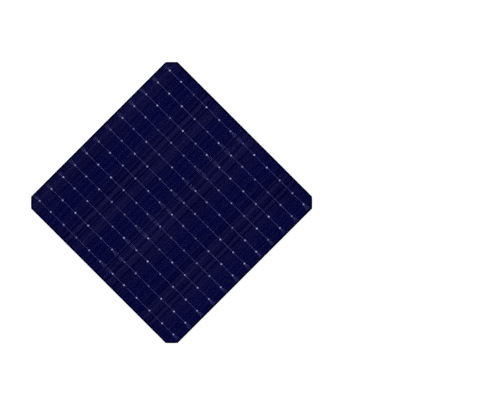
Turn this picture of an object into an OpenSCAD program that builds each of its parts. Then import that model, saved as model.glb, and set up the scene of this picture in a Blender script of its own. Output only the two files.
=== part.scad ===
// Crystalline silicon solar cell, printed so that it can be cut into two half cells.
// A thin square wafer with clipped corners carries a silver grid on each face: fine fingers side by side,
// and busbars that cross them, with solder pads and forked ends.
// The cell lies flat with its sunny face up. X runs along the busbars, Y along the fingers and Z up.
// The origin is under the middle of the cell, level with the lowest faces of the rear busbars.
// All sizes are in millimetres.

/* [Wafer] */
// Side of the square
wafer_side = 182; // [150:0.5:220]
// Depth that the round ingot leaves off each corner of the square
corner_depth = 5.2; // [3:0.1:6.5]
// Thickness of the silicon
wafer_thickness = 0.175; // [0.12:0.005:0.25]

/* [Fingers] */
// Distance from one finger to the next
finger_pitch = 0.93; // [0.8:0.01:1.4]
// Width of a finger at its foot
finger_width = 0.03; // [0.02:0.002:0.06]
// Width of a finger along its crown
finger_crown = 0.018; // [0.01:0.002:0.02]
// Height of a finger above the silicon
finger_height = 0.014; // [0.008:0.001:0.03]
// Distance from the line of the cut to the first finger on either side of it
cut_margin = 0.75; // [0.5:0.05:1.5]
// Least width of the bare rim around the print
bare_rim = 1.7; // [1:0.1:2.5]

/* [Busbars] */
// Number of busbars on each face
busbar_count = 12; // [9:1:16]
// Distance from the edge of the wafer to the outermost busbar
busbar_inset = 10.15; // [8:0.05:13]
// Width of the printed line
busbar_width = 0.1; // [0.04:0.01:0.2]
// Thickness of the printed line, which runs over the fingers
busbar_height = 0.008; // [0.004:0.001:0.02]

/* [Solder pads] */
// Number of pads along a busbar of one half cell
pad_count = 6; // [4:1:8]
// Width of a pad across its busbar
pad_width = 1.3; // [0.5:0.1:2]
// Distance that a pad reaches past the two fingers that it lies on
pad_lap = 0.17; // [0.05:0.01:0.3]
// Bare strip between the foot of a pad and the finger on either side of it
pad_gap = 0.1; // [0.05:0.05:0.3]
// Number of fingers between the line of the cut and the first pad
cut_fingers = 8; // [6:1:10]
// Number of fingers between the last pad and the edge
edge_fingers = 7; // [6:1:10]
// Number of fingers from an end pad to the next pad
next_fingers = 15; // [10:1:18]

/* [Forked ends] */
// Width of the two tines, one on each side of the line
tine_width = 0.07; // [0.04:0.01:0.1]
// Distance from the middle of an end pad to where the tines leave the line
fork_stem = 1.4; // [0.8:0.05:1.8]
// Length over which the tines spread out from the line
fork_taper = 1.6; // [0.8:0.1:2.2]
// Distance between the tines where they have spread out, centre to centre
fork_root = 2.2; // [1.6:0.1:2.4]
// Distance between the tines at their ends, centre to centre
fork_spread = 2.6; // [2.4:0.1:4]
// Distance that the line and its tines run past the outermost finger
fork_overrun = 0.1; // [0.05:0.05:0.5]

/* [Hidden] */
$fn = 360;

// Printed layers above and below the silicon
print_height = finger_height + busbar_height;
wafer_top = print_height + wafer_thickness;
ingot_radius = wafer_side / sqrt(2) - corner_depth;

// Fingers of a half cell, counted from 1 next to the cut
finger_count = 1 + floor((wafer_side / 2 - bare_rim - cut_margin) / finger_pitch);

// Busbars are spread evenly between the two outermost ones
busbar_pitch = (wafer_side - 2 * busbar_inset) / (busbar_count - 1);

// Each pad lies on two fingers, and its foot stands on the silicon between them
pad_length = finger_pitch + finger_width + 2 * pad_lap;
pad_foot = finger_pitch - finger_width - 2 * pad_gap;
inner_fingers = finger_count - cut_fingers - edge_fingers - 2 * next_fingers;
inner_step = inner_fingers / (pad_count - 3);

wafer_colour = [0.05, 0.047, 0.216];
front_silver = [0.66, 0.66, 0.76];
rear_silver = [0.7, 0.77, 0.85];

// Half the length of print that the wafer has room for at this distance from its centre line
function print_reach(offset) =
    min(wafer_side / 2 - bare_rim, sqrt(pow(ingot_radius - bare_rim, 2) - pow(offset, 2)));

// Distance of a finger from the line of the cut
function finger_place(k) = cut_margin + (k - 1) * finger_pitch;

// Number of fingers between the line of the cut and this pad of a half cell
function fingers_before(pad) =
    pad == 0 ? cut_fingers
    : pad == pad_count - 1 ? finger_count - edge_fingers
    : cut_fingers + next_fingers + round((pad - 1) * inner_step);

function pad_place(pad) = finger_place(fingers_before(pad) + 0.5);

function busbar_place(number) = busbar_inset - wafer_side / 2 + (number - 1) * busbar_pitch;

// Where a busbar ends, next to the cut and next to the edge of the wafer
function inner_end() = finger_place(1) - fork_overrun;

function outer_end(number) =
    min(finger_place(finger_count) + fork_overrun,
        print_reach(abs(busbar_place(number)) + (fork_spread + tine_width) / 2));

function two_digits(number) = number < 10 ? str("0", number) : str(number);

function front_name(number) = str("front_busbar_", two_digits(number));

function rear_name(number) = str("rear_busbar_", two_digits(number));

busbars = [1:busbar_count];

// The square, clipped by the circle of the ingot
module wafer() {
    color(wafer_colour)
        translate([0, 0, print_height])
            linear_extrude(wafer_thickness)
                intersection() {
                    square(wafer_side, center = true);
                    circle(r = ingot_radius);
                }
}

// One finger with sloping flanks, on the plane z = 0
module finger(length) {
    foot = finger_width / 2;
    crown = finger_crown / 2;
    rotate([90, 0, 0])
        linear_extrude(length, center = true)
            polygon([[-foot, 0], [foot, 0], [crown, finger_height], [-crown, finger_height]]);
}

// The fingers of both half cells, with a bare strip between them where the cell is cut
module finger_field() {
    for (half = [-1, 1], k = [1:finger_count])
        translate([half * finger_place(k), 0, 0])
            finger(2 * print_reach(finger_place(k)));
}

// The two tines beside a busbar's end, which lies at x = 0. They leave the line at x = length
module tines(length) {
    half = tine_width / 2;
    tip = fork_spread / 2;
    root = fork_root / 2;
    throat = length - fork_taper;
    for (side = [0, 1])
        mirror([0, side])
            polygon([
                [0, tip + half], [throat, root + half], [length, half],
                [length, -half], [throat, root - half], [0, tip - half]]);
}

// One pad on the plane z = 0, with its middle on the Z axis
module solder_pad() {
    translate([-pad_foot / 2, -pad_width / 2, 0])
        cube([pad_foot, pad_width, print_height]);
    translate([-pad_length / 2, -pad_width / 2, finger_height])
        cube([pad_length, pad_width, busbar_height]);
}

// The busbar of one half cell on the plane z = 0. Line, tines and pads lie across the crowns of the fingers
module half_busbar(number) {
    start = inner_end();
    end = outer_end(number);
    first_fork = pad_place(0) - fork_stem;
    last_fork = pad_place(pad_count - 1) + fork_stem;
    translate([0, 0, finger_height])
        linear_extrude(busbar_height) {
            translate([start, -busbar_width / 2]) square([end - start, busbar_width]);
            translate([start, 0]) tines(first_fork - start);
            translate([end, 0]) mirror([1, 0]) tines(end - last_fork);
        }
    for (pad = [0:pad_count - 1])
        translate([pad_place(pad), 0, 0])
            solder_pad();
}

// The same busbar of both half cells
module busbar(number) {
    translate([0, busbar_place(number), 0])
        for (side = [0, 1])
            mirror([side, 0, 0])
                half_busbar(number);
}

// Lays a print on the sunny face
module on_front() {
    color(front_silver)
        translate([0, 0, wafer_top])
            children();
}

// Lays a print on the rear face
module on_rear() {
    color(rear_silver)
        translate([0, 0, print_height])
            mirror([0, 0, 1])
                children();
}

module front_fingers() on_front() finger_field();

module rear_fingers() on_rear() finger_field();

module front_busbar(number) on_front() busbar(number);

module rear_busbar(number) on_rear() busbar(number);

wafer();
front_fingers();
rear_fingers();
for (number = busbars) {
    front_busbar(number);
    rear_busbar(number);
}
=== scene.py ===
"""A crystalline silicon solar cell that lies on a white floor, seen from straight above."""

import math

import bpy
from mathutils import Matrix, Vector


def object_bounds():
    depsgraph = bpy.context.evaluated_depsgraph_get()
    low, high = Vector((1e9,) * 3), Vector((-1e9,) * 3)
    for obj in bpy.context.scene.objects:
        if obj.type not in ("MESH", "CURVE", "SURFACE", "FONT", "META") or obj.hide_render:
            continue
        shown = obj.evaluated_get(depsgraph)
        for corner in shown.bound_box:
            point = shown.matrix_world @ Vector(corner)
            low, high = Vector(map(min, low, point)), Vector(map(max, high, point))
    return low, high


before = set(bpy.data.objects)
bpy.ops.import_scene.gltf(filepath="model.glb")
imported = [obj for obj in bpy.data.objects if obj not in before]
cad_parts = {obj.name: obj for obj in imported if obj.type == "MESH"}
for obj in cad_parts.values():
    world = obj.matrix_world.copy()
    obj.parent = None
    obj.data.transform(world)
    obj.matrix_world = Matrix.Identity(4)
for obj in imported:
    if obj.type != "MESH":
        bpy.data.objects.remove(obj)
cad_low, cad_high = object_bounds()

# The frame is in metres, and names that end in MM are in millimetres
MM_PER_M = 1000
# Two coordinates of the frame's meshes count as equal within this distance, or to this many digits
SLACK_MM = 0.001
SLACK_DIGITS = 3

# The photograph's frame, and the place of the cell in it
FRAME_WIDTH_PX = 500
FRAME_HEIGHT_PX = 400
CELL_SIDE_PX = 207.25
CELL_CENTRE_PX = Vector((171.60, 202.55))
CELL_TURN = math.radians(45)

# The camera
LENS_MM = 85
SENSOR_MM = 36

# The stage: a white floor just under the cell, and a white world that looks brighter than it lights
WHITE = (1, 1, 1, 1)
FLOOR_HALF_M = 3.0
FLOOR_DROP_M = 0.00002
FLOOR_COLOUR = (0.9, 0.9, 0.9, 1)
FLOOR_GLOW = 0.2
WORLD_LEVEL = 0.7
WORLD_SEEN_LEVEL = 1

# The key light, which is wide and soft and comes from one side
KEY_FROM = Vector((-0.9, 0.5, 1.3)).normalized()
KEY_WIDTH = math.radians(27)
KEY_LEVEL = 0.3

# Streaks along the fingers: narrow ones on top of wide ones, from a stretch of noise that the shift picks
BAND_MM = 2.75
WIDE_BAND_MM = 7
WIDE_BAND_SHARE = 0.4
BAND_SHIFT_MM = 137
BAND_CONTRAST = 2.7

# The film of the sunny face: bluer and smoother in some zones, and streaky in the zones between them
SMOOTH_DARK = (0.0003, 0.0003, 0.0314, 1)
SMOOTH_LIGHT = (0.0012, 0.0013, 0.0354, 1)
STREAKY_DARK = (0, 0, 0.0222, 1)
STREAKY_LIGHT = (0.0054, 0.0047, 0.0444, 1)
ZONE_MM = 49
ZONE_CREST_MM = 10
DRIFT_MM = 55
DRIFT_CONTRAST = 1.2

# The film where it carries no print, and how far from the outline and from the cut it gives way
BARE_COLOUR = (0.0001, 0.0001, 0.0185, 1)
RIM_FADE_MM = (1.4, 2.2)
CUT_FADE_MM = (0, 0.6)

# The rear face and the sawn edges, which are told from the sunny face by the slope of the surface
REAR_DARK = (0.024, 0.053, 0.122, 1)
REAR_LIGHT = (0.034, 0.071, 0.152, 1)
REAR_CONTRAST = 2.2
SAWN_DARK = (0.028, 0.028, 0.032, 1)
SAWN_LIGHT = (0.075, 0.075, 0.082, 1)
SAWN_CONTRAST = 2
FACE_SLOPE = 0.5

# The surface of the silicon. Its texture and its film reflect much less than a polished face would
SILICON_IOR = 1.12
SILICON_TINT = (0.25, 0.25, 1, 1)
SILICON_ROUGHNESS = (0.36, 0.52)
SILICON_RELIEF_MM = 0.004
SILICON_BUMP = 0.3
GRAIN_MM = 0.09
SAW_MARK_MM = 0.35
SAW_MARK_STRETCH = (1, 60, 1)
SAW_MARK_SHARE = 0.5

# The silver print: wide pads come out brighter than lines, which is a painted sheen on the smooth pads and
# painted shade on the fine lines, and both vary in patches
PAD_DARK = (0.012, 0.0117, 0.06, 1)
PAD_LIGHT = (0.35, 0.346, 0.61, 1)
LINE_DARK = (0.077, 0.0755, 0.242, 1)
LINE_LIGHT = (0.178, 0.174, 0.545, 1)
# Fingers are darker than the busbar print: partly a more porous paste, partly painted shade on their
# sloped sides
FINGER_DARK = (0.008, 0.0078, 0.05, 1)
FINGER_LIGHT = (0.075, 0.073, 0.115, 1)
REAR_PRINT_DARK = (0.3, 0.36, 0.45, 1)
REAR_PRINT_LIGHT = (0.44, 0.51, 0.6, 1)
PATCH_MM = 5
PATCH_SHARE = 0.85
PATCH_CONTRAST = 3

# The surface of the silver: fired grains, and the marks of the screen that it was printed through
SILVER_METALLIC = 0.7
SILVER_ROUGHNESS = (0.42, 0.62)
SILVER_RELIEF_MM = 0.003
SILVER_BUMP = 0.4
PASTE_GRAIN_MM = 0.02
PASTE_CONTRAST = 1.6
SCREEN_MESH_MM = 0.07
SCREEN_SHARE = 0.2

# Finer layers in a noise, of which grain has more. Roughness follows grain over this span of its values
NOISE_DETAIL = 2
GRAIN_DETAIL = 3
GRAIN_SPAN = (0.3, 0.7)


class Finish:
    """A material, with short calls for the nodes that it is made of. Lengths are in millimetres."""

    def __init__(self, name):
        self.material = bpy.data.materials.new(name)
        self.material.use_nodes = True
        self.tree = self.material.node_tree
        self.shader = self.tree.nodes["Principled BSDF"]
        self.coordinates = self.add("ShaderNodeTexCoord")
        scaled = self.add("ShaderNodeVectorMath", operation="SCALE")
        self.feed(scaled.inputs["Vector"], self.coordinates.outputs["Object"])
        self.feed(scaled.inputs["Scale"], MM_PER_M)
        self.place = scaled.outputs["Vector"]

    def add(self, kind, **settings):
        node = self.tree.nodes.new(kind)
        for name, value in settings.items():
            setattr(node, name, value)
        return node

    def feed(self, socket, value):
        """Links another node's output to the socket, or sets a plain value on it."""
        if isinstance(value, bpy.types.NodeSocket):
            self.tree.links.new(value, socket)
        else:
            socket.default_value = value

    def set(self, **values):
        """Feeds the shader's own sockets. An underscore stands for a space in a socket's name."""
        for name, value in values.items():
            self.feed(self.shader.inputs[name.replace("_", " ")], value)

    def math(self, operation, *values):
        node = self.add("ShaderNodeMath", operation=operation)
        for socket, value in zip(node.inputs, values):
            self.feed(socket, value)
        return node.outputs["Value"]

    def axes(self, vector):
        node = self.add("ShaderNodeSeparateXYZ")
        self.feed(node.inputs["Vector"], vector)
        return node.outputs

    def noise(self, size, detail=NOISE_DETAIL, stretch=(1, 1, 1)):
        """Cloudy noise whose features are about this size, longer along the axes that are stretched."""
        squeezed = self.add("ShaderNodeVectorMath", operation="DIVIDE")
        self.feed(squeezed.inputs[0], self.place)
        self.feed(squeezed.inputs[1], [size * factor for factor in stretch])
        node = self.add("ShaderNodeTexNoise")
        self.feed(node.inputs["Vector"], squeezed.outputs["Vector"])
        self.feed(node.inputs["Scale"], 1)
        self.feed(node.inputs["Detail"], detail)
        return node.outputs["Fac"]

    def stripes(self, size):
        """Noise that changes only along X, so that it makes stripes along the fingers."""
        node = self.add("ShaderNodeTexNoise", noise_dimensions="1D")
        along = self.math("ADD", self.axes(self.place)["X"], BAND_SHIFT_MM)
        self.feed(node.inputs["W"], self.math("DIVIDE", along, size))
        self.feed(node.inputs["Scale"], 1)
        self.feed(node.inputs["Detail"], NOISE_DETAIL)
        return node.outputs["Fac"]

    def bands(self):
        """Faint streaks along the fingers, narrow ones on top of wide ones, from 0 to 1."""
        wide = self.math("MULTIPLY_ADD", self.stripes(WIDE_BAND_MM), WIDE_BAND_SHARE, -WIDE_BAND_SHARE / 2)
        return self.contrast(self.math("ADD", self.stripes(BAND_MM), wide), BAND_CONTRAST)

    def wave(self, length, crest):
        """A smooth wave along X from 0 to 1, which has a crest at this place."""
        turn = math.tau / length
        angle = self.math("MULTIPLY_ADD", self.axes(self.place)["X"], turn, -turn * crest)
        return self.math("MULTIPLY_ADD", self.math("COSINE", angle), 0.5, 0.5)

    def remap(self, value, from_low, from_high, to_low=0, to_high=1, smooth=False):
        kind = "SMOOTHSTEP" if smooth else "LINEAR"
        node = self.add("ShaderNodeMapRange", interpolation_type=kind)
        for socket, number in zip(node.inputs, (value, from_low, from_high, to_low, to_high)):
            self.feed(socket, number)
        return node.outputs["Result"]

    def contrast(self, value, gain):
        """Spreads a noise value around its middle, and keeps it between 0 and 1."""
        return self.remap(value, 0.5 - 0.5 / gain, 0.5 + 0.5 / gain)

    def mix(self, share, first, second, numbers=False):
        """A blend of two colours or two numbers: the first at a share of 0, the second at a share of 1."""
        data_type, kind = ("FLOAT", "VALUE") if numbers else ("RGBA", "RGBA")
        node = self.add("ShaderNodeMix", data_type=data_type)
        ends = [socket for socket in node.inputs if socket.type == kind and socket.name in ("A", "B")]
        self.feed(node.inputs["Factor"], share)
        self.feed(ends[0], first)
        self.feed(ends[1], second)
        return next(socket for socket in node.outputs if socket.type == kind)

    def bump(self, height, depth, strength):
        node = self.add("ShaderNodeBump")
        self.feed(node.inputs["Height"], height)
        self.feed(node.inputs["Distance"], depth / MM_PER_M)
        self.feed(node.inputs["Strength"], strength)
        return node.outputs["Normal"]


def printed_share(finish):
    """1 where the sunny face carries print, and 0 in the bare rim and along the cut."""
    half_side = (cad_high.x - cad_low.x) / 2 * MM_PER_M
    ingot_radius = max(vertex.co.xy.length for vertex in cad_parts["wafer"].data.vertices) * MM_PER_M

    # The outline is a square that is clipped by the circle of the ingot
    x, y, _ = finish.axes(finish.place)
    from_cut = finish.math("ABSOLUTE", x)
    reach = finish.math("MAXIMUM", from_cut, finish.math("ABSOLUTE", y))
    square = finish.math("MULTIPLY", x, x)
    radius = finish.math("SQRT", finish.math("MULTIPLY_ADD", y, y, square))
    to_side = finish.math("SUBTRACT", half_side, reach)
    to_corner = finish.math("SUBTRACT", ingot_radius, radius)
    inside_rim = finish.remap(finish.math("MINIMUM", to_side, to_corner), *RIM_FADE_MM, smooth=True)
    beside_cut = finish.remap(from_cut, *CUT_FADE_MM, smooth=True)
    return finish.math("MULTIPLY", inside_rim, beside_cut)


def make_silicon():
    """The wafer: a dark blue film on the sunny face, a slate blue one behind, and bare sawn edges."""
    finish = Finish("coated_silicon")
    drift = finish.noise(DRIFT_MM)
    lightness = finish.math("MULTIPLY_ADD", drift, DRIFT_CONTRAST, -DRIFT_CONTRAST / 2)
    lightness = finish.math("ADD", lightness, finish.bands())
    zone = finish.wave(ZONE_MM, ZONE_CREST_MM)
    dark = finish.mix(zone, SMOOTH_DARK, STREAKY_DARK)
    light = finish.mix(zone, SMOOTH_LIGHT, STREAKY_LIGHT)
    front = finish.mix(printed_share(finish), BARE_COLOUR, finish.mix(lightness, dark, light))

    grain = finish.noise(GRAIN_MM, detail=GRAIN_DETAIL)
    saw_marks = finish.noise(SAW_MARK_MM, stretch=SAW_MARK_STRETCH)
    rear = finish.mix(finish.contrast(drift, REAR_CONTRAST), REAR_DARK, REAR_LIGHT)
    sawn = finish.mix(finish.contrast(grain, SAWN_CONTRAST), SAWN_DARK, SAWN_LIGHT)

    facing = finish.axes(finish.coordinates.outputs["Normal"])["Z"]
    colour = finish.mix(finish.math("LESS_THAN", facing, -FACE_SLOPE), sawn, rear)
    colour = finish.mix(finish.math("GREATER_THAN", facing, FACE_SLOPE), colour, front)
    relief = finish.math("MULTIPLY_ADD", saw_marks, SAW_MARK_SHARE, grain)
    finish.set(
        Base_Color=colour,
        Roughness=finish.remap(grain, *GRAIN_SPAN, *SILICON_ROUGHNESS),
        IOR=SILICON_IOR,
        Specular_Tint=SILICON_TINT,
        Normal=finish.bump(relief, SILICON_RELIEF_MM, SILICON_BUMP),
    )
    return finish.material


def named(start):
    """The nodes whose names begin like this, in order."""
    return [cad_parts[name] for name in sorted(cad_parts) if name.startswith(start)]


def pad_places():
    """The distances of a busbar's pads from the cut, and half a pad's length, in millimetres."""
    vertices = named("front_busbar")[0].data.vertices
    corners = [vertex.co * MM_PER_M for vertex in vertices if vertex.co.x > 0]
    lowest = min(corner.z for corner in corners)
    feet = [corner for corner in corners if corner.z < lowest + SLACK_MM]
    ends = sorted({round(corner.x, SLACK_DIGITS) for corner in feet})
    middles = [(first + last) / 2 for first, last in zip(ends[::2], ends[1::2])]
    side = min(corner.y for corner in feet)
    rims = [corner.x for corner in corners if abs(corner.y - side) < SLACK_MM]
    half_length = max(min(abs(rim - middle) for middle in middles) for rim in rims)
    return middles, half_length


def finger_colour(finish, lightness):
    """Fingers share the streaks of the film under them, and are darker than the busbars: partly a more
    porous paste, partly painted shade on their sloped sides.
    """
    lightness = finish.mix(PATCH_SHARE, lightness, finish.bands(), numbers=True)
    # The finger colours carry painted shade of their sloped sides besides the paste's own darker tone
    return finish.mix(lightness, FINGER_DARK, FINGER_LIGHT)


def busbar_colour(finish, lightness):
    """Pads are lighter than the line and the tines between them: a painted sheen on the smooth wide print,
    and painted shade on the fine line and tines.
    """
    middles, half_length = pad_places()
    from_cut = finish.math("ABSOLUTE", finish.axes(finish.place)["X"])
    on_pad = 0
    for middle in middles:
        on_pad = finish.math("MAXIMUM", on_pad, finish.math("COMPARE", from_cut, middle, half_length))
    patches = finish.contrast(finish.noise(PATCH_MM), PATCH_CONTRAST)
    lightness = finish.mix(PATCH_SHARE, lightness, patches, numbers=True)
    # The line's darker colour is painted shade, and the pads' lighter one is a painted sheen
    line = finish.mix(lightness, LINE_DARK, LINE_LIGHT)
    return finish.mix(on_pad, line, finish.mix(lightness, PAD_DARK, PAD_LIGHT))


def rear_colour(finish, lightness):
    """All of the rear print looks alike."""
    return finish.mix(lightness, REAR_PRINT_DARK, REAR_PRINT_LIGHT)


def make_silver(name, colour):
    """Fired silver paste: matt and grainy, with faint marks of the screen that it was printed through."""
    finish = Finish(name)
    grain = finish.noise(PASTE_GRAIN_MM, detail=GRAIN_DETAIL)
    x, y, _ = finish.axes(finish.place)
    threads = [finish.math("MULTIPLY", axis, math.tau / SCREEN_MESH_MM) for axis in (x, y)]
    mesh = finish.math("MULTIPLY", *(finish.math("SINE", thread) for thread in threads))
    relief = finish.math("MULTIPLY_ADD", mesh, SCREEN_SHARE, grain)
    finish.set(
        Base_Color=colour(finish, finish.contrast(grain, PASTE_CONTRAST)),
        Metallic=SILVER_METALLIC,
        Roughness=finish.remap(grain, *GRAIN_SPAN, *SILVER_ROUGHNESS),
        Normal=finish.bump(relief, SILVER_RELIEF_MM, SILVER_BUMP),
    )
    return finish.material


def dress(nodes, material):
    for node in nodes:
        node.material_slots[0].material = material


def dress_cell():
    """Gives every CAD node its material."""
    dress(named("wafer"), make_silicon())
    dress(named("front_fingers"), make_silver("front_finger_silver", finger_colour))
    dress(named("front_busbar"), make_silver("front_busbar_silver", busbar_colour))
    dress(named("rear_"), make_silver("rear_silver", rear_colour))


def make_camera():
    """Looks straight down, turned so that the cell stands on its corner in the picture."""
    side = cad_high.x - cad_low.x
    metres_per_px = side / CELL_SIDE_PX
    centre = (cad_low + cad_high) / 2
    right = Vector((math.cos(CELL_TURN), math.sin(CELL_TURN), 0))
    up = Vector((-math.sin(CELL_TURN), math.cos(CELL_TURN), 0))
    across = FRAME_WIDTH_PX / 2 - CELL_CENTRE_PX.x
    above = CELL_CENTRE_PX.y - FRAME_HEIGHT_PX / 2
    height = FRAME_WIDTH_PX * metres_per_px * LENS_MM / SENSOR_MM

    data = bpy.data.cameras.new("camera")
    data.lens = LENS_MM
    data.sensor_width = SENSOR_MM
    camera = bpy.data.objects.new("camera", data)
    camera.location = Vector((centre.x, centre.y, cad_high.z + height))
    camera.location += (across * right + above * up) * metres_per_px
    camera.rotation_euler = (0, 0, CELL_TURN)
    bpy.context.scene.collection.objects.link(camera)
    bpy.context.scene.camera = camera


def seen_directly(tree):
    """1 for what the camera sees, also in a reflection or through glass, and 0 for light on the object."""
    path = tree.nodes.new("ShaderNodeLightPath")
    total = path.outputs["Is Camera Ray"]
    for name in ("Is Glossy Ray", "Is Transmission Ray"):
        both = tree.nodes.new("ShaderNodeMath")
        both.operation = "MAXIMUM"
        tree.links.new(total, both.inputs[0])
        tree.links.new(path.outputs[name], both.inputs[1])
        total = both.outputs["Value"]
    return total


def make_world():
    """White where it is seen, and a plain soft light on the object."""
    world = bpy.data.worlds.new("studio")
    world.use_nodes = True
    tree = world.node_tree
    background = tree.nodes["Background"]
    background.inputs["Color"].default_value = WHITE
    strength = tree.nodes.new("ShaderNodeMapRange")
    strength.inputs["To Min"].default_value = WORLD_LEVEL
    strength.inputs["To Max"].default_value = WORLD_SEEN_LEVEL
    tree.links.new(seen_directly(tree), strength.inputs["Value"])
    tree.links.new(strength.outputs["Result"], background.inputs["Strength"])
    bpy.context.scene.world = world


def make_floor():
    """A matt floor that glows a little where it is seen, so that it comes out white around the shadow."""
    mesh = bpy.data.meshes.new("floor")
    half = FLOOR_HALF_M
    corners = [(-half, -half, 0), (half, -half, 0), (half, half, 0), (-half, half, 0)]
    mesh.from_pydata(corners, [], [(0, 1, 2, 3)])
    floor = bpy.data.objects.new("floor", mesh)
    floor.location.z = cad_low.z - FLOOR_DROP_M
    bpy.context.scene.collection.objects.link(floor)

    material = bpy.data.materials.new("floor")
    material.use_nodes = True
    tree = material.node_tree
    shader = tree.nodes["Principled BSDF"]
    shader.inputs["Base Color"].default_value = FLOOR_COLOUR
    shader.inputs["Roughness"].default_value = 1
    shader.inputs["Specular IOR Level"].default_value = 0
    shader.inputs["Emission Color"].default_value = WHITE
    glow = tree.nodes.new("ShaderNodeMath")
    glow.operation = "MULTIPLY"
    glow.inputs[1].default_value = FLOOR_GLOW
    tree.links.new(seen_directly(tree), glow.inputs[0])
    tree.links.new(glow.outputs["Value"], shader.inputs["Emission Strength"])
    mesh.materials.append(material)


def make_key_light():
    """Light from one side, which alone would make a level white surface KEY_LEVEL bright."""
    data = bpy.data.lights.new("key", "SUN")
    data.angle = KEY_WIDTH
    data.energy = KEY_LEVEL * math.pi / KEY_FROM.z
    light = bpy.data.objects.new("key", data)
    light.location = KEY_FROM
    light.rotation_euler = KEY_FROM.to_track_quat("Z", "Y").to_euler()
    bpy.context.scene.collection.objects.link(light)


bpy.context.scene.view_settings.view_transform = "Standard"
# The printed lines are finer than a pixel, and a denoiser would wipe them away
bpy.context.scene.cycles.use_denoising = False
make_camera()
make_world()
make_floor()
make_key_light()
dress_cell()
